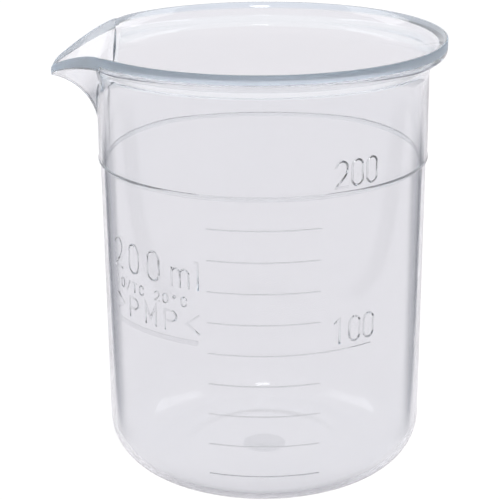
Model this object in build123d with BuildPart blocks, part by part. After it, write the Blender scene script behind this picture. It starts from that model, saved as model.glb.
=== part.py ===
from build123d import *
from math import acos, cos, degrees, pi, radians, sin, sqrt, tan
import os

# A 200 ml pouring beaker, injection moulded in one clear plastic, in millimetres.
# The origin is the centre of the base, on the surface that the beaker stands on.
# +Z is up, the spout points along -X, and the scale faces -Y.

# Overall sizes
height = 89.6
rim_flare = 3.5  # how far the rim stands outside the upper wall
spout_beyond = 5.6  # how far the tip of the spout stands outside the rim

# Wall and floor
wall = 1.1
floor = 1.1
foot_radius = 32.57  # outside of the lower wall, carried down to the standing plane
draft = 0.38  # degrees that the lower wall leans outwards
shoulder = 0.3  # how far the upper wall stands outside the lower one
corner_radius = 9.2  # outside of the round corner between wall and base

# Underside
recess_radius = 17.1
recess_depth = 0.3
recess_round = 0.25
gate_radius = 4.5
gate_height = 0.1
nub_radius = 1.1
nub_height = 0.1

# Flared rim
flare_angle = 55.0  # how far the outside of the flare turns away from upright
flare_curve = 4.0
lip_height = 2.1
lip_curve = 1.6  # under the lip
lip_land = 0.5  # width of the top of the lip
lip_round = 0.2
mouth_drop = 7.4  # from the top down to where the inside starts to open

# Spout: a rounded V swung round a level axis that lies outside the wall
spout_drop = 18.6  # from the top down to the foot of the spout
keel_curve = 11.0
keel_seat = 0.05  # how deep the spout's surfaces start inside the wall's
keel_round = 4.1
spout_outer_angle = 62.9  # half the angle of the V, outside and inside
spout_inner_angle = 60.3
nose_radius = 7.8

# Scale
line_volume = 20000.0  # cubic millimetres from one line to the next
full_volume = 200000.0
lines = 9
numbered_line = 5
line_half_angle = 19.2
numbered_line_end = 39.2
line_width = 0.45
relief = 0.15  # how far a raised mark stands off the wall
ring_width = 1.1
ring_relief = 0.3  # how far the ring stands off the upper wall

# Numbers beside the scale
numeral_height = 5.4
numeral_width = 2.8
numeral_pitch = 3.4
numeral_rise = 1.2  # from a line to the foot of its number
numeral_start = 15.1  # from the middle of the scale to the first digit, along the wall
pen = 0.42

# Capacity mark
capacity_height = 6.3
capacity_width = 3.4
capacity_pitch = 5.75
capacity_drop = 18.8  # from the ring down to the foot of the figures
capacity_start = -34.7
letter_m_height = 4.0
letter_m_width = 4.2
letter_m_place = -16.7
letter_l_height = 5.8
letter_l_width = 0.9
letter_l_place = -13.1

# Calibration mark
small_height = 2.2
small_width = 1.45
small_pitch = 2.15
small_drop = 22.7
small_start = -35.3
small_pen = 0.3

# Resin mark and the bar under it
resin_height = 4.4
resin_width = 3.2
resin_pitch = 5.1
resin_drop = 28.1
resin_start = -34.4
bar_drop = 29.2
bar_height = 1.0
bar_left = -34.6
bar_right = -13.0

# What follows from those sizes
scale_faces = -90.0
lean = tan(radians(draft))
inner_corner = corner_radius - wall
spout_start = height - spout_drop
mouth_start = height - mouth_drop
lip_bottom = height - lip_height


def outer_radius(z):
    """Outside of the lower wall at a height, as if it had no round corner."""
    return foot_radius + lean * z


def inner_radius(z):
    """Inside of the whole wall at a height."""
    return outer_radius(z) - wall


def outline_radius(z):
    """Outside of the lower wall at a height, its round corner included."""
    lean_length = sqrt(1 + lean**2)
    if z > corner_radius * (1 - lean / lean_length):
        return outer_radius(z)
    centre = outer_radius(corner_radius) - corner_radius * lean_length
    return centre + sqrt(corner_radius**2 - (corner_radius - z) ** 2)


def filled(z):
    """Volume of the cup below a height."""
    low = inner_radius(floor)
    high = inner_radius(z)
    cone = pi * (z - floor) * (low * low + low * high + high * high) / 3
    corner = (1 - pi / 4) * inner_corner**2 * 2 * pi * (low - 0.223 * inner_corner)
    return cone - corner


def level(volume):
    """Height of the surface of a volume of liquid, by halving a span of heights."""
    low = floor
    high = height
    while high - low > 0.001:
        middle = (low + high) / 2
        if filled(middle) < volume:
            low = middle
        else:
            high = middle
    return middle


ring_level = level(full_volume)
upper_radius = outer_radius(ring_level) + shoulder
rim_radius = upper_radius + rim_flare
nose_centre = rim_radius + spout_beyond - nose_radius
side_angle = degrees(acos((rim_radius - nose_radius) / nose_centre))
crease = rim_radius * cos(radians(side_angle))  # the spout begins at this distance from the axis
swing_distance = upper_radius - keel_seat + keel_curve  # from the beaker's axis
keel_inner = swing_distance - inner_radius(spout_start) + keel_seat
keel_inner_round = keel_round - (keel_inner - keel_curve)

os.makedirs("parts", exist_ok=True)

# ---- Tools that shape the body ----

# The flared rim, on the side of the crease away from the spout
flare_high = lip_bottom - lip_curve * tan(radians(flare_angle / 2))
flare_low = flare_high - rim_flare / tan(radians(flare_angle))
flare_start = flare_low - flare_curve * tan(radians(flare_angle / 2))
rim_seam = min(mouth_start, flare_start) - lip_curve

with BuildPart() as flare:
    with BuildSketch(Plane.XZ) as flare_section:
        with BuildLine():
            outside = FilletPolyline(
                (upper_radius, rim_seam),
                (upper_radius, flare_low),
                (rim_radius, flare_high),
                (rim_radius, height),
                radius=[flare_curve, lip_curve],
            )
            land = Line(outside @ 1, (rim_radius - lip_land, height))
            throat = Line((inner_radius(mouth_start), mouth_start), (inner_radius(rim_seam), rim_seam))
            TangentArc(throat @ 0, land @ 1, tangent=(lean, 1))
            Line(throat @ 1, outside @ 0)
        make_face()
        fillet(flare_section.vertices().group_by(Axis.Y)[-1], lip_round)
    revolve(axis=Axis.Z)
    split(bisect_by=Plane.YZ.offset(-crease), keep=Keep.TOP)

# The upright wall between the two sides of the spout
with BuildPart() as cheeks:
    with BuildSketch(Plane.XZ):
        Polygon(
            (inner_radius(rim_seam), rim_seam),
            (upper_radius, rim_seam),
            (upper_radius, height),
            (inner_radius(height), height),
            align=None,
        )
    revolve(axis=Axis.Z)
    split(bisect_by=Plane.YZ.offset(-crease), keep=Keep.BOTTOM)


def swing_v(keel, round_radius, half_angle):
    """Draws a rounded V in plan and swings it up, as the spout's outside or inside."""
    swing_plane = Plane((-swing_distance, 0, spout_start), x_dir=(1, 0, 0), z_dir=(0, 0, 1))
    point = keel - round_radius * (1 / sin(radians(half_angle)) - 1)
    depth = swing_distance - point
    spread = depth * tan(radians(half_angle))
    with BuildSketch(swing_plane) as v_section:
        Polygon((point, 0), (point + depth, spread), (point + depth, -spread), align=None)
        fillet(v_section.vertices().sort_by(Axis.X)[0], round_radius)
    swing_axis = Axis((-swing_distance, 0, spout_start), (0, -1, 0))
    revolve(v_section.sketch, axis=swing_axis, revolution_arc=90)


# The spout as a full block: its outside, its outline in plan, and the crease
with BuildPart() as spout_outline:
    with BuildSketch(Plane.XY.offset(spout_start)):
        Circle(rim_radius)
        with Locations((-nose_centre, 0)):
            Circle(nose_radius)
        make_hull()
    extrude(amount=spout_drop)
    split(bisect_by=Plane.YZ.offset(-crease), keep=Keep.BOTTOM)

with BuildPart() as spout_block:
    swing_v(keel_curve, keel_round, spout_outer_angle)
    add(spout_outline.part, mode=Mode.INTERSECT)

# The channel that the liquid runs along
with BuildPart() as channel:
    swing_v(keel_inner, keel_inner_round, spout_inner_angle)
    split(bisect_by=Plane.YZ.offset(-crease), keep=Keep.BOTTOM)

# The inside of the cup, where the spout's block reaches into it
with BuildPart() as bore:
    with BuildSketch(Plane.XZ):
        Polygon(
            (0, spout_start - floor),
            (inner_radius(spout_start - floor), spout_start - floor),
            (inner_radius(height + floor), height + floor),
            (0, height + floor),
            align=None,
        )
    revolve(axis=Axis.Z)

# The cup's outside as a full block, up to the ring
with BuildPart() as cup_form:
    with BuildSketch(Plane.XZ):
        with BuildLine():
            outside = FilletPolyline(
                (0, 0),
                (foot_radius, 0),
                (outer_radius(ring_level), ring_level),
                radius=corner_radius,
            )
            top = Line(outside @ 1, (0, ring_level))
            Line(top @ 1, outside @ 0)
        make_face()
    revolve(axis=Axis.Z)

# ---- Beaker body: floor, wall, flared rim and spout ----

with BuildPart() as beaker_body:
    with BuildSketch(Plane.XZ) as cup_section:
        with BuildLine():
            outside = FilletPolyline(
                (0, 0),
                (foot_radius, 0),
                (outer_radius(ring_level), ring_level),
                radius=corner_radius,
            )
            step = Line(outside @ 1, (upper_radius, ring_level))
            top = Line(step @ 1, (upper_radius, rim_seam))
            brim = Line(top @ 1, (inner_radius(rim_seam), rim_seam))
            inside = FilletPolyline(
                brim @ 1,
                (inner_radius(floor), floor),
                (0, floor),
                radius=inner_corner,
            )
            Line(inside @ 1, outside @ 0)
        make_face()
    revolve(axis=Axis.Z)
    add(flare.part)
    add(cheeks.part)
    add(spout_block.part)
    add(bore.part, mode=Mode.SUBTRACT)
    add(channel.part, mode=Mode.SUBTRACT)
    with BuildSketch(Plane.XY):
        Circle(recess_radius)
    extrude(amount=recess_depth, mode=Mode.SUBTRACT)
    recess_edge = beaker_body.edges().filter_by(GeomType.CIRCLE).group_by(Axis.Z)[0].sort_by(SortBy.RADIUS)[0]
    fillet(recess_edge, recess_round)

beaker_body.part.label = "beaker_body"
export_step(beaker_body.part, "parts/beaker_body.step")

# ---- Moulding gate on the underside, inside the recess ----

with BuildPart() as gate_mark:
    with BuildSketch(Plane.XY.offset(recess_depth)):
        Circle(gate_radius)
    extrude(amount=-gate_height)
    with BuildSketch(Plane.XY.offset(recess_depth - gate_height)):
        Circle(nub_radius)
    extrude(amount=-nub_height)

gate_mark.part.label = "gate_mark"
export_step(gate_mark.part, "parts/gate_mark.step")

# ---- Ring for the full volume, seated on the step of the wall ----

with BuildPart() as capacity_ring:
    with BuildSketch(Plane.XZ):
        with BuildLine():
            under = Line(
                (outer_radius(ring_level - ring_width / 2), ring_level - ring_width / 2),
                (outer_radius(ring_level), ring_level),
            )
            step = Line(under @ 1, (upper_radius, ring_level))
            behind = Line(step @ 1, (upper_radius, ring_level + ring_width / 2))
            ThreePointArc(behind @ 1, (upper_radius + ring_relief, ring_level), under @ 0)
        make_face()
    revolve(axis=Axis.Z)

capacity_ring.part.label = "capacity_ring"
export_step(capacity_ring.part, "parts/capacity_ring.step")

# ---- Graduation lines ----


def line_section(z):
    """A low rounded rib with its root inside the wall, drawn on the plane that faces the wall's end."""
    foot = z - line_width / 2
    head = z + line_width / 2
    root = wall / 2
    with BuildSketch(Plane.XZ) as section:
        with BuildLine():
            under = Line((outline_radius(foot) - root, foot), (outline_radius(foot), foot))
            crown = ThreePointArc(under @ 1, (outline_radius(z) + relief, z), (outline_radius(head), head))
            over = Line(crown @ 1, (outline_radius(head) - root, head))
            Line(over @ 1, under @ 0)
        make_face()
    return section.sketch


def ribs(levels, start, end):
    """Makes one rib at each level, between two angles from the middle of the scale, and cuts off its root."""
    for z in levels:
        section = line_section(z).rotate(Axis.Z, scale_faces + start)
        revolve(section, axis=Axis.Z, revolution_arc=end - start)
    add(cup_form.part, mode=Mode.SUBTRACT)


line_levels = [level(line_volume * (n + 1)) for n in range(lines)]
numbered_level = line_levels[numbered_line - 1]

with BuildPart() as graduation_lines:
    ribs([z for z in line_levels if z != numbered_level], -line_half_angle, line_half_angle)

graduation_lines.part.label = "graduation_lines"
export_step(graduation_lines.part, "parts/graduation_lines.step")

with BuildPart() as numbered_graduation:
    ribs([numbered_level], -line_half_angle, numbered_line_end)

numbered_graduation.part.label = "numbered_graduation"
export_step(numbered_graduation.part, "parts/numbered_graduation.step")

# ---- Lettering: strokes of a pen, raised off the wall ----


def polyline_stroke(*points, width):
    """One stroke through a few points."""
    with BuildLine() as path:
        Polyline(*points)
    trace(path.line, line_width=width)


def figure(name, across, up, width):
    """Draws one figure, centred over its foot."""
    half = (across - width) / 2
    low = width / 2
    high = up - width / 2
    if name == "0":
        with Locations((0, up / 2)):
            SlotOverall(up, across, rotation=90)
            SlotOverall(up - 2 * width, across - 2 * width, rotation=90, mode=Mode.SUBTRACT)
    elif name == "1":
        polyline_stroke((-half, high - 0.7 * half), (0, high), (0, 0), width=width)
    elif name == "2":
        with BuildLine() as path:
            bow = ThreePointArc((-half, high - half), (0, high), (half, high - half))
            tail = Spline(bow @ 1, (-half, low), tangents=((0, -1), (-0.6, -1)))
            Line(tail @ 1, (half + low, low))
        trace(path.line, line_width=width)
    elif name == "C":
        with BuildLine() as path:
            top = ThreePointArc((half, high - half), (0, high), (-half, high - half))
            side = Line(top @ 1, (-half, low + half))
            ThreePointArc(side @ 1, (0, low), (half, low + half))
        trace(path.line, line_width=width)
    elif name == "T":
        polyline_stroke((-half - low, high), (half + low, high), width=width)
        polyline_stroke((0, high), (0, 0), width=width)
    elif name == "/":
        polyline_stroke((-half, 0), (half, up), width=width)
    elif name == "degree":
        with Locations((0, high - half / 2)):
            Circle(half / 2 + low)
            Circle(half / 2 - low, mode=Mode.SUBTRACT)
    elif name == "P":
        polyline_stroke((-half, 0), (-half, up), width=width)
        with BuildLine() as path:
            brow = Line((-half, high), (half - up / 4, high))
            bowl = ThreePointArc(brow @ 1, (half, high - up / 4), (half - up / 4, high - up / 2))
            Line(bowl @ 1, (-half, high - up / 2))
        trace(path.line, line_width=width)
    elif name == "M":
        polyline_stroke(
            (-half, 0), (-half, high), (0, up / 3), (half, high), (half, 0), width=width
        )
    elif name == "m":
        polyline_stroke((-half, 0), (-half, up), width=width)
        for middle in (-half / 2, half / 2):
            with BuildLine() as path:
                arch = ThreePointArc(
                    (middle - half / 2, high - half / 2),
                    (middle, high),
                    (middle + half / 2, high - half / 2),
                )
                Line(arch @ 1, (middle + half / 2, 0))
            trace(path.line, line_width=width)
    elif name == "l":
        polyline_stroke((-half - low, high), (half, high), (half, 0), width=width)
    elif name == "<":
        polyline_stroke((half, high), (-half, up / 2), (half, low), width=width)
    elif name == ">":
        polyline_stroke((-half, high), (half, up / 2), (-half, low), width=width)


def face_wall(along, foot):
    """A plane inside the wall that looks outwards, at a distance along the wall."""
    angle = radians(scale_faces + degrees(along / outer_radius(foot)))
    outwards = (cos(angle), sin(angle), 0)
    inside = inner_radius(foot)
    return Plane(
        (inside * outwards[0], inside * outwards[1], foot),
        x_dir=(-sin(angle), cos(angle), 0),
        z_dir=outwards,
    )


def letter(name, along, foot, across, up, width):
    """One figure as a block that passes out through the wall."""
    with BuildSketch(face_wall(along, foot)) as drawn:
        figure(name, across, up, width)
    extrude(drawn.sketch, amount=corner_radius)


def skin(wall_radius, low, high):
    """The space that raised marks fill, from the wall outwards."""
    with BuildSketch(Plane.XZ) as section:
        Polygon(
            (wall_radius(low), low),
            (wall_radius(low) + relief, low),
            (wall_radius(high) + relief, high),
            (wall_radius(high), high),
            align=None,
        )
    revolve(section.sketch, axis=Axis.Z)


with BuildPart() as lower_skin:
    skin(outer_radius, corner_radius, ring_level - ring_width)

with BuildPart() as upper_skin:
    skin(lambda z: upper_radius, ring_level + ring_width / 2, rim_seam)


def number(digits, foot):
    """The digits of a number beside the scale."""
    for place, digit in enumerate(digits):
        along = numeral_start + place * numeral_pitch
        letter(digit, along, foot, numeral_width, numeral_height, pen)


with BuildPart() as numeral_200:
    number("200", ring_level + numeral_rise)
    add(upper_skin.part, mode=Mode.INTERSECT)

numeral_200.part.label = "numeral_200"
export_step(numeral_200.part, "parts/numeral_200.step")

with BuildPart() as numeral_100:
    number("100", numbered_level + numeral_rise)
    add(lower_skin.part, mode=Mode.INTERSECT)

numeral_100.part.label = "numeral_100"
export_step(numeral_100.part, "parts/numeral_100.step")

with BuildPart() as capacity_mark:
    for place, digit in enumerate("200"):
        along = capacity_start + place * capacity_pitch
        letter(digit, along, ring_level - capacity_drop, capacity_width, capacity_height, pen)
    letter("m", letter_m_place, ring_level - capacity_drop, letter_m_width, letter_m_height, pen)
    letter("l", letter_l_place, ring_level - capacity_drop, letter_l_width, letter_l_height, pen)
    add(lower_skin.part, mode=Mode.INTERSECT)

capacity_mark.part.label = "capacity_mark"
export_step(capacity_mark.part, "parts/capacity_mark.step")

calibration_text = ["1", "0", "/", "T", "C", None, "2", "0", "degree", "C"]

with BuildPart() as calibration_mark:
    for place, name in enumerate(calibration_text):
        along = small_start + place * small_pitch
        if name is not None:
            letter(name, along, ring_level - small_drop, small_width, small_height, small_pen)
    add(lower_skin.part, mode=Mode.INTERSECT)

calibration_mark.part.label = "calibration_mark"
export_step(calibration_mark.part, "parts/calibration_mark.step")

with BuildPart() as resin_mark:
    for place, name in enumerate(">PMP<"):
        along = resin_start + place * resin_pitch
        letter(name, along, ring_level - resin_drop, resin_width, resin_height, pen)
    add(lower_skin.part, mode=Mode.INTERSECT)

resin_mark.part.label = "resin_mark"
export_step(resin_mark.part, "parts/resin_mark.step")

with BuildPart() as underline_bar:
    bar_top = ring_level - bar_drop
    bar_foot = bar_top - bar_height
    with BuildSketch(Plane.XZ) as bar_section:
        Polygon(
            (outer_radius(bar_foot), bar_foot),
            (outer_radius(bar_foot) + relief, bar_foot),
            (outer_radius(bar_top) + relief, bar_top),
            (outer_radius(bar_top), bar_top),
            align=None,
        )
    bar_start = degrees(bar_left / outer_radius(bar_foot))
    bar_end = degrees(bar_right / outer_radius(bar_foot))
    turned = bar_section.sketch.rotate(Axis.Z, scale_faces + bar_start)
    revolve(turned, axis=Axis.Z, revolution_arc=bar_end - bar_start)

underline_bar.part.label = "underline_bar"
export_step(underline_bar.part, "parts/underline_bar.step")
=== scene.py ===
# %% [markdown]
# # A clear plastic pouring beaker
# The beaker is one thin-walled moulding: a round cup with a flared rim, a spout drawn out of that rim,
# and a measuring scale that stands very slightly proud of the wall. A clear thing shows its shape only by
# how it bends light, so the body needs a smooth mesh more than it needs colour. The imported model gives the
# frame: every piece here is made in the same place, in metres, with the base's middle at the origin, the
# spout along -X and the scale facing -Y.

# %% Load the frame
from math import acos, asin, atan2, cos, degrees, exp, hypot, pi, radians, sin, sqrt, tan

import bpy
from mathutils import Matrix, Vector, noise


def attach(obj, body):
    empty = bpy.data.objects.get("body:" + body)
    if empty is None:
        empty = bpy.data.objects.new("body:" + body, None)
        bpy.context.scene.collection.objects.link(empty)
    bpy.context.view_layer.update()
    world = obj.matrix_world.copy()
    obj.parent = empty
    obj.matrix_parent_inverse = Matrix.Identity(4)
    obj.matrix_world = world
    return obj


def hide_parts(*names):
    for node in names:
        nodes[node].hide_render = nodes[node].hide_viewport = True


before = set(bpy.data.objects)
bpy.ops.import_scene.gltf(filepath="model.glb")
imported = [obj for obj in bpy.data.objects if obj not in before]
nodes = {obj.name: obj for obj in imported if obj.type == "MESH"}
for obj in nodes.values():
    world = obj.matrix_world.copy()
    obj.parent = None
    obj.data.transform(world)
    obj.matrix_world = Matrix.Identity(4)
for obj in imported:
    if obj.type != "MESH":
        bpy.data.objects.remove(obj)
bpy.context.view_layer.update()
mm = 0.001
print("CAD nodes:", sorted(nodes))

# %% [markdown]
# The camera looks a little down on the beaker, from in front of the scale, through a long lens. A long lens
# keeps the wall's two sides almost parallel, which is how such glassware is usually shown.

# %% Camera
eye = Vector((0.0, -328.25, 155.74)) * mm
right = Vector((0.999956, 0.006129, -0.007047))
up = Vector((0.004704, 0.321392, 0.946934))
ahead = up.cross(right)

camera_data = bpy.data.cameras.new("camera")
camera_data.sensor_width = 36.0
camera_data.lens = 120.08
camera_data.clip_start = 0.01
camera = bpy.data.objects.new("camera", camera_data)
camera.matrix_world = Matrix.Translation(eye) @ Matrix((right, up, -ahead)).transposed().to_4x4()
bpy.context.scene.collection.objects.link(camera)
bpy.context.scene.camera = camera
print("the camera looks", round(degrees(asin(-ahead.z)), 1), "degrees down")

# %% [markdown]
# Shader maths reads best as plain expressions. A small class wraps a node's output, so that `1 - mask`
# adds its Math node by itself, and one method makes any other node from its type, settings and inputs.

# %% A wrapper for shader sockets


class Value:
    """An output socket that can be used in sums."""

    def __init__(self, tree, socket):
        self.tree = tree
        self.socket = socket

    def maths(self, operation, first, second):
        return self.tree.add("ShaderNodeMath", {"operation": operation}, {0: first, 1: second})

    def __add__(self, other):
        return self.maths("ADD", self, other)

    def __sub__(self, other):
        return self.maths("SUBTRACT", self, other)

    def __rsub__(self, other):
        return self.maths("SUBTRACT", other, self)

    def __mul__(self, other):
        return self.maths("MULTIPLY", self, other)

    __radd__ = __add__
    __rmul__ = __mul__


class Tree:
    """A node tree that grows by one call for each node."""

    def __init__(self, owner):
        owner.use_nodes = True
        self.nodes = owner.node_tree.nodes
        self.links = owner.node_tree.links
        self.nodes.clear()

    def add(self, kind, settings=None, inputs=None, output=0):
        """Makes a node, sets it up, joins its inputs and returns one of its outputs."""
        node = self.nodes.new(kind)
        for name, setting in (settings or {}).items():
            setattr(node, name, setting)
        for name, given in (inputs or {}).items():
            if isinstance(given, Value):
                self.links.new(given.socket, node.inputs[name])
            else:
                node.inputs[name].default_value = given
        return Value(self, node.outputs[output]) if node.outputs else node

    def mix(self, share, first, second):
        """One colour going over into another, by a share from 0 to 1."""
        places = {"Factor": share, 6: first, 7: second}
        return self.add("ShaderNodeMix", {"data_type": "RGBA"}, places, 2)


# %% [markdown]
# The body starts as its section, as on a lathe: one closed line that runs from the middle of the underside,
# out round the foot, up the wall, over the rim and down the inside. Each corner of the line gets its own
# radius, because the mould was cut with rounded tools and a plastic edge is never perfectly sharp.

# %% Sizes of the moulding, in millimetres
HEIGHT = 89.6
RIM_RADIUS = 36.8
WALL = 1.1
FLOOR = 1.1
FOOT_RADIUS = 32.57
LEAN = tan(radians(0.38))
CORNER = 9.2
RING_LEVEL = 65.32
UPPER_RADIUS = FOOT_RADIUS + LEAN * RING_LEVEL + 0.3
RECESS_RADIUS = 17.1
RECESS_DEPTH = 0.1
RECESS_FLAT = RECESS_RADIUS - 2.6  # the recess is flat out to here
RECESS_STEP_START = RECESS_RADIUS - 2.2
RECESS_STEP_END = RECESS_RADIUS + 1
BASE_FLAT = RECESS_RADIUS + 1.5  # the base is flat from here
FLARE_ANGLE = radians(55)
NECK_CURVE = 4.0
LIP = 2.1
LIP_CURVE = 1.6
LIP_LAND = 0.5
LIP_ROUND = 0.2
MOUTH = HEIGHT - 7.4
INSIDE_FOOT = 10  # height where the straight inside wall is handed over to the round corner
FLOOR_INSET = 0.5  # how far in from the round corner the points of the floor start


def outer_radius(z):
    """Outside of the lower wall at a height."""
    return FOOT_RADIUS + LEAN * z


def inner_radius(z):
    """Inside of the wall at a height."""
    return outer_radius(z) - WALL


# %% Helpers for a line with rounded corners


def arc_points(centre, radius, start, end, steps):
    """Points along an arc, between two angles, both ends included."""
    turns = [start + (end - start) * n / steps for n in range(steps + 1)]
    return [(centre[0] + radius * cos(a), centre[1] + radius * sin(a)) for a in turns]


def straight(first, last, steps):
    """Points along a straight run, both ends included."""
    shares = [n / steps for n in range(steps + 1)]
    return [(first[0] + (last[0] - first[0]) * s, first[1] + (last[1] - first[1]) * s) for s in shares]


def rounded(before, corner, after, radius, steps):
    """The arc that rounds a corner between its two neighbours."""
    a = Vector(before) - Vector(corner)
    b = Vector(after) - Vector(corner)
    half = a.angle(b) / 2
    middle = Vector(corner) + (a.normalized() + b.normalized()).normalized() * radius / sin(half)
    first = Vector(corner) + a.normalized() * radius / tan(half) - middle
    last = Vector(corner) + b.normalized() * radius / tan(half) - middle
    start = atan2(first.y, first.x)
    sweep = atan2(first.x * last.y - first.y * last.x, first.dot(last))
    return arc_points(middle, radius, start, start + sweep, steps)


def soft_step(first, last, steps):
    """Points down a step with no edge at its top or its foot."""
    points = []
    for n in range(steps + 1):
        s = n / steps
        fall = s * s * (3 - 2 * s)
        points.append((first[0] + (last[0] - first[0]) * s, first[1] + (last[1] - first[1]) * fall))
    return points


# %% The section, in named runs
flare_high = HEIGHT - LIP - LIP_CURVE * tan(FLARE_ANGLE / 2)
flare_low = flare_high - (RIM_RADIUS - UPPER_RADIUS) / tan(FLARE_ANGLE)
recess_edge = (RECESS_RADIUS, 0)
foot = (FOOT_RADIUS, 0)
shoulder = (outer_radius(RING_LEVEL), RING_LEVEL)
shelf = (UPPER_RADIUS, RING_LEVEL)
neck = (UPPER_RADIUS, flare_low)
brim = (RIM_RADIUS, flare_high)
rim_top = (RIM_RADIUS, HEIGHT)
land_edge = (RIM_RADIUS - LIP_LAND, HEIGHT)
mouth = (inner_radius(MOUTH), MOUTH)
sump = (inner_radius(FLOOR), FLOOR)

# The throat is an arc that leaves the inside wall smoothly and ends at the land
reach = Vector(land_edge) - Vector(mouth)
level_out = Vector((1, -LEAN)).normalized()
throat_radius = reach.length_squared / (2 * reach.dot(level_out))
throat_middle = Vector(mouth) + level_out * throat_radius
throat_turn = 2 * atan2(reach.dot(level_out), reach.dot(Vector((LEAN, 1))))
throat_arc = arc_points(throat_middle, throat_radius, pi - LEAN - throat_turn, pi - LEAN, steps=26)

foot_arc = rounded(recess_edge, foot, shoulder, CORNER, steps=20)
neck_arc = rounded(shelf, neck, brim, NECK_CURVE, steps=12)
brim_arc = rounded(neck, brim, rim_top, LIP_CURVE, steps=8)
land_arc = rounded(rim_top, land_edge, throat_arc[1], LIP_ROUND, steps=3)
floor_start = (inner_radius(0) - CORNER + WALL - FLOOR_INSET, FLOOR)
inside_foot = (inner_radius(INSIDE_FOOT), INSIDE_FOOT)
runs = {
    "recess": straight((0, RECESS_DEPTH), (RECESS_FLAT, RECESS_DEPTH), steps=3),
    "recess_side": soft_step((RECESS_STEP_START, RECESS_DEPTH), (RECESS_STEP_END, 0), steps=8),
    "base": straight((BASE_FLAT, 0), foot_arc[0], steps=3)[:-1],
    "foot": foot_arc,
    "wall": straight(foot_arc[-1], shoulder, steps=4)[1:],
    "neck": straight(shelf, neck_arc[0], steps=7),
    "flare": neck_arc[1:] + brim_arc,
    "band": straight(brim_arc[-1], (RIM_RADIUS, HEIGHT - LIP_ROUND), steps=4)[1:],
    "rim": rounded(brim, rim_top, land_edge, LIP_ROUND, steps=4)[1:],
    "land": straight((RIM_RADIUS - LIP_ROUND, HEIGHT), land_arc[0], steps=2)[1:] + land_arc[1:],
    "throat": throat_arc[1:],
    "inside": straight(mouth, inside_foot, steps=5)[1:],
    "sump": rounded(mouth, sump, (0, FLOOR), CORNER - WALL, steps=22),
    "floor": straight(floor_start, (0, FLOOR), steps=4),
}
print({name: len(points) for name, points in runs.items()})

# %% [markdown]
# The section is turned into the cup with Spin, nearly two columns of points to a degree: a clear wall shows
# every flat facet, and more columns than this would make the mesh too heavy. Each point of the section
# carries the number of its row, and Spin copies that number, so that a point can be found again afterwards.

# %% Spin the section into a cup
COLUMNS = 684
rows = [(name, place, point) for name, points in runs.items() for place, point in enumerate(points)]


def new_piece(name, points, edges):
    """A new object from a list of points in millimetres and the edges between them."""
    mesh = bpy.data.meshes.new(name)
    mesh.from_pydata([Vector(p) * mm for p in points], edges, [])
    piece = bpy.data.objects.new(name, mesh)
    bpy.context.scene.collection.objects.link(piece)
    return piece


def pick(piece):
    """Deselects everything, then selects this piece alone."""
    bpy.ops.object.select_all(action="DESELECT")
    piece.select_set(True)
    bpy.context.view_layer.objects.active = piece


def spin(piece, steps, angle=2 * pi):
    """Turns a section round the beaker's axis and closes its seam and poles."""
    pick(piece)
    bpy.ops.object.mode_set(mode="EDIT")
    bpy.ops.mesh.select_all(action="SELECT")
    bpy.ops.mesh.spin(steps=steps, angle=angle, center=(0, 0, 0), axis=(0, 0, -1))
    bpy.ops.mesh.select_all(action="SELECT")
    bpy.ops.mesh.remove_doubles(threshold=0.001 * mm)
    bpy.ops.mesh.normals_make_consistent(inside=False)
    bpy.ops.object.mode_set(mode="OBJECT")


section = [(r, 0, z) for _, _, (r, z) in rows]
body = new_piece("clear_body", section, [(n, n + 1) for n in range(len(section) - 1)])
row_of = body.data.attributes.new("row", "INT", "POINT")
row_of.data.foreach_set("value", range(len(section)))
spin(body, COLUMNS)
print("cup:", len(body.data.vertices), "points,", len(body.data.polygons), "faces")

# %% [markdown]
# A real spout is formed by a tool with a rounded V, swung down through the soft rim. The mesh copies that:
# the V is swung round a level axis outside the wall, once for the outside of the spout and once, a little
# smaller, for the channel that the liquid runs along. Seen from above, the spout's outline is two straight
# sides that leave the rim smoothly and meet in a round nose. Where its sides leave the rim there is a crease.

# %% The spout's surfaces
SPOUT_START = HEIGHT - 18.6
SPOUT_TIP = 42.4  # from the beaker's axis
KEEL_SEAT = 0.05  # how deep the spout's surfaces start inside the wall's
KEEL_CURVE = 11.0
KEEL_ROUND = 4.1
SWING_X = -(UPPER_RADIUS - KEEL_SEAT + KEEL_CURVE)

# Each V is the radius that it swings at, the radius of its rounded point, and half its angle
KEEL = (KEEL_CURVE, KEEL_ROUND, radians(62.9))
CHANNEL_DEPTH = -SWING_X - inner_radius(SPOUT_START) + KEEL_SEAT
CHANNEL = (CHANNEL_DEPTH, KEEL_ROUND - (CHANNEL_DEPTH - KEEL_CURVE), radians(60.3))
NOSE_RADIUS = 7.8
NOSE_CENTRE = SPOUT_TIP - NOSE_RADIUS
side_angle = acos((RIM_RADIUS - NOSE_RADIUS) / NOSE_CENTRE)
CREASE = RIM_RADIUS * cos(side_angle)
nose_angle = atan2(NOSE_RADIUS * sin(side_angle), NOSE_CENTRE + NOSE_RADIUS * cos(side_angle))
DROOP = 0.4  # how far the top of the rim dips at the crease
DROOP_REACH = 3.0  # how far along the rim the dip fades


def swung(x, y, v_shape):
    """Height of a swung V above a place in plan."""
    depth, nose, half_angle = v_shape
    if abs(y) < nose * cos(half_angle):
        distance = depth + nose - sqrt(nose**2 - y**2)
    else:
        distance = depth + nose - nose / sin(half_angle) + abs(y) / tan(half_angle)
    return SPOUT_START + sqrt(max(distance**2 - (x - SWING_X) ** 2, 0))


def channel_height(x, y):
    """Top of the spout: the channel where it cuts below the rim, with a soft change between the two."""
    cut = swung(x, y, CHANNEL)
    soft = 2 * DROOP
    return (HEIGHT + cut - sqrt((HEIGHT - cut) ** 2 + soft**2)) / 2


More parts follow.
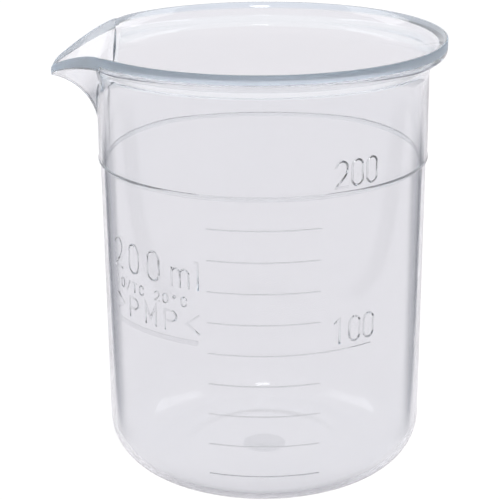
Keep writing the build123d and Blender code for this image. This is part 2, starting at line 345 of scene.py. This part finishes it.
def outline(angle):
    """Radius of the spout's outline in plan, at an angle from the spout's middle."""
    if abs(angle) < nose_angle:
        return NOSE_CENTRE * cos(angle) + sqrt(NOSE_RADIUS**2 - (NOSE_CENTRE * sin(angle)) ** 2)
    return RIM_RADIUS / cos(abs(angle) - side_angle)


def in_plan(radius, angle):
    """A place in plan, from its radius and its angle from the spout's middle."""
    return Vector((-radius * cos(angle), radius * sin(angle)))


print("the spout's sides leave the rim", round(degrees(side_angle), 1), "degrees from its middle")

# %% Move the cup's rows out into the spout
SPOUT_COLUMNS = radians(30)  # the columns this far to each side of the middle make the spout
CREASE_SHARE = 1.001  # a hair over 1, so that rounding doesn't lose the crease's own column
EDGE_LEVEL = 60  # below this height the crease keeps its angle
ENTRY_GUESS = 80.0  # height where the channel may meet the inside, to start from
ENTRY_ROUNDS = 6
runs_outside = ("recess", "recess_side", "base", "foot", "wall", "neck", "flare", "band", "rim", "land")


def edge_angle(name, radius):
    """Where the crease lies on a row: the outside and the inside rows keep one angle below the spout."""
    least = outer_radius(EDGE_LEVEL) if name in runs_outside else inner_radius(EDGE_LEVEL)
    return acos(CREASE / max(radius, least))


def spout_point(name, place, point, share):
    """Where a row's point goes inside the spout, at a share from its middle (0) to its crease (1)."""
    radius, z = point
    count = len(runs[name])
    wall_angle = share * edge_angle("neck", UPPER_RADIUS)
    on_wall = in_plan(UPPER_RADIUS, wall_angle)
    edge_side = share * side_angle
    on_edge = in_plan(outline(edge_side), edge_side)
    entry = ENTRY_GUESS
    for _ in range(ENTRY_ROUNDS):
        r = inner_radius(entry)
        on_inside = in_plan(r, share * edge_angle("inside", r))
        entry = swung(on_inside.x, on_inside.y, CHANNEL)
    inward = (on_inside - on_edge).normalized()
    if name == "neck":
        rise = swung(on_wall.x, on_wall.y, KEEL) - RING_LEVEL
        return (*on_wall, RING_LEVEL + rise * place / (count - 1))
    if name == "flare":
        spot = on_wall.lerp(on_edge, (place + 1) / count)
        return (*spot, swung(spot.x, spot.y, KEEL))
    top = channel_height(*on_edge)
    if name == "band":
        low = swung(on_edge.x, on_edge.y, KEEL)
        return (*on_edge, low + (top - LIP_ROUND - low) * (place + 1) / count)
    if name in ("rim", "land"):
        spot = on_edge + inward * (RIM_RADIUS - radius)
        return (*spot, channel_height(*spot) - (HEIGHT - z))
    if name == "throat":
        spot = (on_edge + inward * LIP_LAND).lerp(on_inside, (place + 1) / count)
        return (*spot, channel_height(*spot))
    if name == "inside":
        z = entry + (INSIDE_FOOT - entry) * (place + 1) / count
        radius = inner_radius(z)
    return (*in_plan(radius, share * edge_angle(name, radius)), z)


def beaker_point(name, place, point, turn):
    """Where a point of the cup goes, from its row and its angle from the spout's middle."""
    share = turn / SPOUT_COLUMNS
    if abs(share) <= CREASE_SHARE:
        return spout_point(name, place, point, share)
    radius, z = point
    side = 1 if turn > 0 else -1
    edge = edge_angle(name, radius)
    beyond = (abs(turn) - SPOUT_COLUMNS) / (pi - SPOUT_COLUMNS)
    if z > HEIGHT - LIP:
        away = beyond * (pi - edge) * radius
        z -= DROOP * exp(-away / DROOP_REACH) * (z - HEIGHT + LIP) / LIP
    return (*in_plan(radius, side * (edge + beyond * (pi - edge))), z)


row_numbers = [0] * len(body.data.vertices)
body.data.attributes["row"].data.foreach_get("value", row_numbers)
for vertex, number in zip(body.data.vertices, row_numbers):
    place = vertex.co
    if hypot(place.x, place.y) > 0.01 * mm:
        turn = atan2(place.y, -place.x)
        vertex.co = Vector(beaker_point(*rows[number], turn)) * mm
body.data.attributes.remove(body.data.attributes["row"])
# the lip attribute marks the band that is duller and gets painted shade and a painted glow
lip = body.data.attributes.new("lip", "FLOAT", "POINT")
lip.data.foreach_set("value", [float(rows[number][0] in ("band", "rim")) for number in row_numbers])
body.data.update()
pick(body)
bpy.ops.object.shade_smooth_by_angle(angle=radians(28))
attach(body, "root")
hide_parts("beaker_body")
print("body spans", [round(side / mm, 1) for side in body.dimensions], "mm")

# %% [markdown]
# The ring at full volume is a low bead that runs all the way round, on the step of the wall. It is spun from
# its own small section. Its seat is sunk a little into the wall: two clear surfaces that share a place would
# flicker, and a gap would show as air, but pieces that overlap bend light like the one moulding they are.

# %% The ring
SUNK = 0.06  # how deep the raised pieces are sunk into the wall
RING_HALF = 0.55
RING_CORNER = 0.27  # how far the bead's corner stands off the upper wall, before it is rounded
RING_ROUND = 0.45
RING_COLUMNS = 480
bead_top = (UPPER_RADIUS - SUNK, RING_LEVEL + RING_HALF)
bead_corner = (UPPER_RADIUS + RING_CORNER, RING_LEVEL)
bead_foot = (outer_radius(RING_LEVEL - RING_HALF) - SUNK, RING_LEVEL - RING_HALF)
bead = rounded(bead_top, bead_corner, bead_foot, RING_ROUND, steps=10)
bead_section = [bead_top, *bead, bead_foot]
ring_points = [(r, 0, z) for r, z in bead_section]
ring_edges = [(n, (n + 1) % len(ring_points)) for n in range(len(ring_points))]
ring = new_piece("full_volume_ring", ring_points, ring_edges)
spin(ring, RING_COLUMNS)
bpy.ops.object.shade_smooth_by_angle(angle=radians(50))
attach(ring, "root")
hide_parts("capacity_ring")
print("ring stands", round(ring.dimensions.x / 2 / mm - UPPER_RADIUS, 2), "mm off the upper wall")

# %% [markdown]
# Each measuring line is a low rounded rib. All the short ones are sections in one mesh, turned together.

# %% The measuring lines
RIB_HALF = 0.15
RIB_RISE = 0.2  # height of a rib's corner off the wall, before it is rounded
RIB_ROUND = 0.06
SHORT_SWEEP = radians(19.2)
LONG_END = radians(39.2)
CORNER_CENTROID = 0.223  # from the wall to the middle of what a round corner fills, as a share of its radius


def volume_below(z):
    """Cubic millimetres of liquid below a height."""
    low = inner_radius(FLOOR)
    high = inner_radius(z)
    corner = CORNER - WALL
    cone = pi * (z - FLOOR) * (low * low + low * high + high * high) / 3
    return cone - (1 - pi / 4) * corner**2 * 2 * pi * (low - CORNER_CENTROID * corner)


def level_of(millilitres):
    """Height of the surface of an amount of liquid, by halving a span of heights."""
    low, high = FLOOR, HEIGHT
    while high - low > 0.001:
        middle = (low + high) / 2
        if volume_below(middle) < millilitres * 1000:
            low = middle
        else:
            high = middle
    return low


def ribs(name, levels, start, end):
    """Low ribs on the wall, at some levels, between two angles from the middle of the scale."""
    points, edges = [], []
    for z in levels:
        seat = [(outer_radius(z) - SUNK, z + RIB_HALF), (outer_radius(z) - SUNK, z - RIB_HALF)]
        crest = (outer_radius(z) + RIB_RISE, z)
        loop = [seat[0], *rounded(seat[0], crest, seat[1], RIB_ROUND, steps=6), seat[1]]
        first = len(points)
        for r, height in loop:
            points.append((r * sin(start), -r * cos(start), height))
        edges += [(first + n, first + (n + 1) % len(loop)) for n in range(len(loop))]
    piece = new_piece(name, points, edges)
    spin(piece, round(degrees(end - start)), end - start)
    bpy.ops.object.mode_set(mode="EDIT")
    bpy.ops.mesh.select_all(action="SELECT")
    bpy.ops.mesh.fill_holes(sides=0)
    bpy.ops.mesh.normals_make_consistent(inside=False)
    bpy.ops.object.mode_set(mode="OBJECT")
    bpy.ops.object.shade_smooth_by_angle(angle=radians(50))
    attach(piece, "root")
    return piece


short_levels = [level_of(20 * n) for n in range(1, 10) if n != 5]
short_lines = ribs("short_lines", short_levels, -SHORT_SWEEP, SHORT_SWEEP)
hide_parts("graduation_lines")
long_line = ribs("line_100", [level_of(100)], -SHORT_SWEEP, LONG_END)
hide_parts("numbered_graduation")
print("lines at", [round(z, 1) for z in short_levels], "and", round(level_of(100), 1))

# %% [markdown]
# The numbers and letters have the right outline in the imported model. Each one is copied, its triangles are
# joined up, and the points of its seat are pushed into the wall. The points of its face are drawn down to a
# quarter of their height, because at their full height the strokes of clear plastic come out too dark.

# %% Sink and lower the raised marks
SEAT_REACH = 0.04  # a point this near the wall belongs to the seat
LOWERING = 0.75  # the share of a mark's height that is taken away


def wall_radius(z):
    """Outside of the wall at a height, above or below the ring."""
    return UPPER_RADIUS if z > RING_LEVEL else outer_radius(z)


def raised_copy(node, name):
    """A joined-up copy of a packed mark, as a piece of its own."""
    piece = bpy.data.objects.new(name, nodes[node].data.copy())
    bpy.context.scene.collection.objects.link(piece)
    pick(piece)
    bpy.ops.object.mode_set(mode="EDIT")
    bpy.ops.mesh.select_all(action="SELECT")
    bpy.ops.mesh.remove_doubles(threshold=0.002 * mm)
    bpy.ops.object.mode_set(mode="OBJECT")
    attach(piece, "root")
    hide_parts(node)
    return piece


def settle(piece):
    """Pushes the points that touch the wall inwards, and draws the others down towards it."""
    sunk = 0
    for vertex in piece.data.vertices:
        radius = hypot(vertex.co.x, vertex.co.y)
        proud = radius / mm - wall_radius(vertex.co.z / mm)
        if proud < SEAT_REACH:
            vertex.co.xy *= 1 - SUNK * mm / radius
            sunk += 1
        else:
            vertex.co.xy *= 1 - LOWERING * proud * mm / radius
    print(piece.name, "has", sunk, "of", len(piece.data.vertices), "points in its seat")


wall_marks = {
    "numeral_100": "number_100",
    "numeral_200": "number_200",
    "capacity_mark": "capacity_words",
    "calibration_mark": "calibration_words",
    "resin_mark": "resin_code",
    "underline_bar": "underline",
}
marks = [ring, short_lines, long_line]
for node, name in wall_marks.items():
    mark = raised_copy(node, name)
    settle(mark)
    bpy.ops.object.shade_smooth_by_angle(angle=radians(40))
    marks.append(mark)

# %% [markdown]
# Under the floor is the scar where the plastic entered the mould: a shallow patch, a little uneven. It is
# spun as a very low mound, then the points of its face are moved up or down by a smooth noise.

# %% The gate scar
GATE_RADIUS = 4.5
GATE_FLAT = 0.3  # radius of the level middle
GATE_DEEP = 0.03
GATE_UNEVEN = 0.04
GATE_GRAIN = 1.4  # size of the uneven patches
gate_face = RECESS_DEPTH - GATE_DEEP
mound_side = soft_step((GATE_FLAT, gate_face), (GATE_RADIUS, RECESS_DEPTH + SUNK), steps=14)
mound = [(0, gate_face), *mound_side]
mound_section = [(r, 0, z) for r, z in [*mound, (0, RECESS_DEPTH + SUNK)]]
mound_edges = [(n, n + 1) for n in range(len(mound_section) - 1)]
gate = new_piece("gate_scar", mound_section, mound_edges)
spin(gate, steps=96)
for vertex in gate.data.vertices:
    if vertex.co.z < RECESS_DEPTH * mm:
        rise = noise.noise(vertex.co / (GATE_GRAIN * mm)) * GATE_UNEVEN * mm
        vertex.co.z = min(vertex.co.z + rise, RECESS_DEPTH * mm)
bpy.ops.object.shade_smooth_by_angle(angle=radians(50))
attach(gate, "root")
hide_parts("gate_mark")
marks.append(gate)
print(len(marks), "raised pieces")

# %% [markdown]
# The plastic is clear all through and almost without colour. A thin wall shows none of that colour, but light
# that runs a long way inside the rim comes out blue-grey, so the shader gets a weak absorption in its volume.
# The surface is never perfect either: the mould leaves it slightly wavy, with a fine grain. The band round
# the lip is duller than the rest, and its colour is darkened to blue-grey: painted shade for how dark a thick
# edge looks. It also gets a very weak glow of that colour, painted light that stands in for the light that
# scatters inside a thick edge.

# %% The clear plastic
CLEAR = (0.985, 0.985, 0.99, 1)
CLOUDED = (0.965, 0.97, 0.98, 1)
# painted shade: the lip band's colour, darkened to blue-grey for how dark a thick edge looks
LIP_PAINTED_SHADE = (0.64, 0.72, 0.8, 1)
# painted light: a weak glow on the lip band, for the light that scatters inside a thick edge
LIP_PAINTED_GLOW = (0.075, 0.088, 0.1, 1)
LIP_DULLNESS = 0.42
DEPTH_TINT = (0.5, 0.68, 0.8, 1)  # the colour that a long way through the plastic takes on
GRAIN_BUMP = 0.04
GRAIN_DULLNESS = 0.03


def plastic(name, dullness, waviness, scar=0.0):
    """Clear moulded plastic; where the lip attribute says so, a duller band with painted blue-grey shade and
    glow.
    """
    material = bpy.data.materials.new(name)
    tree = Tree(material)
    place = tree.add("ShaderNodeTexCoord", None, None, "Object")
    flow = tree.add("ShaderNodeTexNoise", None, {"Vector": place, "Scale": 55.0, "Detail": 2.0})
    grain = tree.add("ShaderNodeTexNoise", None, {"Vector": place, "Scale": 900.0, "Detail": 3.0})
    lip = tree.add("ShaderNodeAttribute", {"attribute_name": "lip"}, None, "Fac")
    clouded = tree.mix(flow, CLEAR, CLOUDED)
    # painted shade on the lip band
    shade = tree.mix(lip, clouded, LIP_PAINTED_SHADE)
    # painted light: the lip band glows weakly, though it is no lamp
    painted_glow = tree.mix(lip, (0, 0, 0, 1), LIP_PAINTED_GLOW)
    relief = flow + grain * GRAIN_BUMP
    wave = tree.add("ShaderNodeBump", None, {"Height": relief, "Distance": waviness * mm})
    shader = tree.add(
        "ShaderNodeBsdfPrincipled",
        None,
        {
            "Base Color": shade,
            "Roughness": grain * GRAIN_DULLNESS + grain * scar + lip * LIP_DULLNESS + dullness,
            "Normal": wave,
            "IOR": 1.46,
            "Transmission Weight": 0.93,
            "Emission Color": painted_glow,
            "Emission Strength": 1.0,
        },
    )
    depth = tree.add("ShaderNodeVolumeAbsorption", None, {"Color": DEPTH_TINT, "Density": 22.0})
    tree.add("ShaderNodeOutputMaterial", None, {"Surface": shader, "Volume": depth})
    return material


body_plastic = plastic("clear_plastic", dullness=0.015, waviness=0.01)
mark_plastic = plastic("raised_plastic", dullness=0.03, waviness=0.01)
scar_plastic = plastic("scar_plastic", dullness=0.02, waviness=0.04, scar=0.08)
dress = {body: body_plastic, gate: scar_plastic}
for piece in [body, *marks]:
    piece.data.materials.clear()
    piece.data.materials.append(dress.get(piece, mark_plastic))
    print(piece.name, "is made of", piece.data.materials[0].name)

# %% [markdown]
# A clear thing looks like what stands round it. The beaker stands on a white table that lights it from below.
# In a studio, dark card goes beside a clear object and a little behind it, so that dark lines draw its edges.
# Here the card is painted on the table as a wedge on each side. It shows only through the plastic: what the
# camera sees straight on is plain white. A softer shade lies on the table just in front of the base.

# %% The table
TABLE_GAP = 0.08  # in millimetres; the values below are in metres

# Each soft edge is the place where it starts and the place where it is complete
CARD_INNER_SLOPE = 0.52  # sideways for each metre behind the beaker
CARD_INNER_EDGE = (0.039, 0.047)
CARD_OUTER_SLOPE = 1.3
CARD_OUTER_EDGE = (0.036, 0.06)
CARD_BACK_END = (0.22, 0.32)
CARD_FRONT_END = (-0.02, 0.01)
SHADE_START = (0.022, 0.032)  # from the beaker's axis
SHADE_END = (0.036, 0.06)
SHADE_BACK = (-0.02, 0.0)
SHADE_SIDES = (0.01, 0.032)
SHADE_DEPTH = 0.7
PAPER = (0.89, 0.868, 0.9, 1)
PAPER_SHADED = (0.3, 0.3, 0.33, 1)
CARD = (0.07, 0.08, 0.11, 1)
PAPER_STRAIGHT_ON = (1.05, 1.05, 1.05, 1)

bpy.ops.mesh.primitive_circle_add(vertices=96, radius=3, fill_type="NGON")
table = bpy.context.object
table.name = "table"
for vertex in table.data.vertices:
    vertex.co.z = -TABLE_GAP * mm
table_paper = bpy.data.materials.new("table_paper")
tree = Tree(table_paper)
spot = tree.add("ShaderNodeTexCoord", None, None, "Object")
side = tree.add("ShaderNodeSeparateXYZ", None, {0: spot}, 0)
across = tree.add("ShaderNodeMath", {"operation": "ABSOLUTE"}, {0: side})
back = tree.add("ShaderNodeSeparateXYZ", None, {0: spot}, 1)
behind = tree.add("ShaderNodeMath", {"operation": "MAXIMUM"}, {0: back, 1: 0.0})
away = tree.add("ShaderNodeVectorMath", {"operation": "LENGTH"}, {0: spot}, 1)


def ramp(tree, value, start, end):
    """Rises smoothly from 0 to 1 between two values."""
    places = {"Value": value, "From Min": start, "From Max": end}
    return tree.add("ShaderNodeMapRange", {"interpolation_type": "SMOOTHSTEP"}, places)


inner_edge = ramp(tree, across - behind * CARD_INNER_SLOPE, *CARD_INNER_EDGE)
outer_edge = 1 - ramp(tree, across - behind * CARD_OUTER_SLOPE, *CARD_OUTER_EDGE)
length = (1 - ramp(tree, away, *CARD_BACK_END)) * ramp(tree, back, *CARD_FRONT_END)
card = inner_edge * outer_edge * length
beside_base = ramp(tree, away, *SHADE_START) * (1 - ramp(tree, away, *SHADE_END))
in_front = beside_base * (1 - ramp(tree, back, *SHADE_BACK))
contact = in_front * (1 - ramp(tree, across, *SHADE_SIDES)) * SHADE_DEPTH
shaded = tree.mix(contact, PAPER, PAPER_SHADED)
carded = tree.mix(card, shaded, CARD)
straight_on = tree.add("ShaderNodeLightPath", None, None, "Is Camera Ray")
paper = tree.mix(straight_on, carded, PAPER_STRAIGHT_ON)
glow = tree.add("ShaderNodeEmission", None, {"Color": paper, "Strength": 1.0})
tree.add("ShaderNodeOutputMaterial", None, {"Surface": glow})
table.data.materials.append(table_paper)
print("the table lies", TABLE_GAP, "mm under the base")

# %% [markdown]
# The room is a white tent, a touch cooler at its sides. Two soft boxes behind the beaker and one lamp high
# above it give the few soft highlights that say the surface is glossy.

# %% The room
TENT_BACK = (0.94, 0.935, 0.965, 1)
TENT_SIDE = (0.86, 0.88, 0.92, 1)
room = bpy.data.worlds.new("white_tent")
bpy.context.scene.world = room
tree = Tree(room)
direction = tree.add("ShaderNodeTexCoord", None, None, "Generated")
direction_x = tree.add("ShaderNodeSeparateXYZ", None, {0: direction}, 0)
sideways = tree.add("ShaderNodeMath", {"operation": "ABSOLUTE"}, {0: direction_x})
tent = tree.mix(ramp(tree, sideways, start=0.45, end=0.95), TENT_BACK, TENT_SIDE)
backdrop = tree.add("ShaderNodeBackground", None, {"Color": tent, "Strength": 1.0})
tree.add("ShaderNodeOutputWorld", None, {"Surface": backdrop})

# %% The lamps


def soft_light(name, place, width, depth, brightness):
    """A rectangular lamp that looks at the origin, as bright as asked whatever its size."""
    light = bpy.data.lights.new(name, "AREA")
    light.shape = "RECTANGLE"
    light.size = width
    light.size_y = depth
    light.energy = brightness * pi * width * depth
    lamp = bpy.data.objects.new(name, light)
    bpy.context.scene.collection.objects.link(lamp)
    facing = Vector(place).to_track_quat("Z", "Y").to_matrix().to_4x4()
    lamp.matrix_world = Matrix.Translation(place) @ facing


soft_light("overhead", place=(0.01, 0.06, 1.15), width=0.1, depth=0.12, brightness=10)
for name, side in (("softbox_left", -1), ("softbox_right", 1)):
    soft_light(name, place=(side * 0.55, 0.52, 0.94), width=0.5, depth=0.5, brightness=1.9)

# %% [markdown]
# Light has to pass many surfaces in a clear, thick rim, so the path may be long. The Standard view keeps the
# white of the table white.

# %% How light travels
scene = bpy.context.scene
scene.view_settings.view_transform = "Standard"
scene.cycles.max_bounces = 32
scene.cycles.transmission_bounces = 32
scene.cycles.glossy_bounces = 16
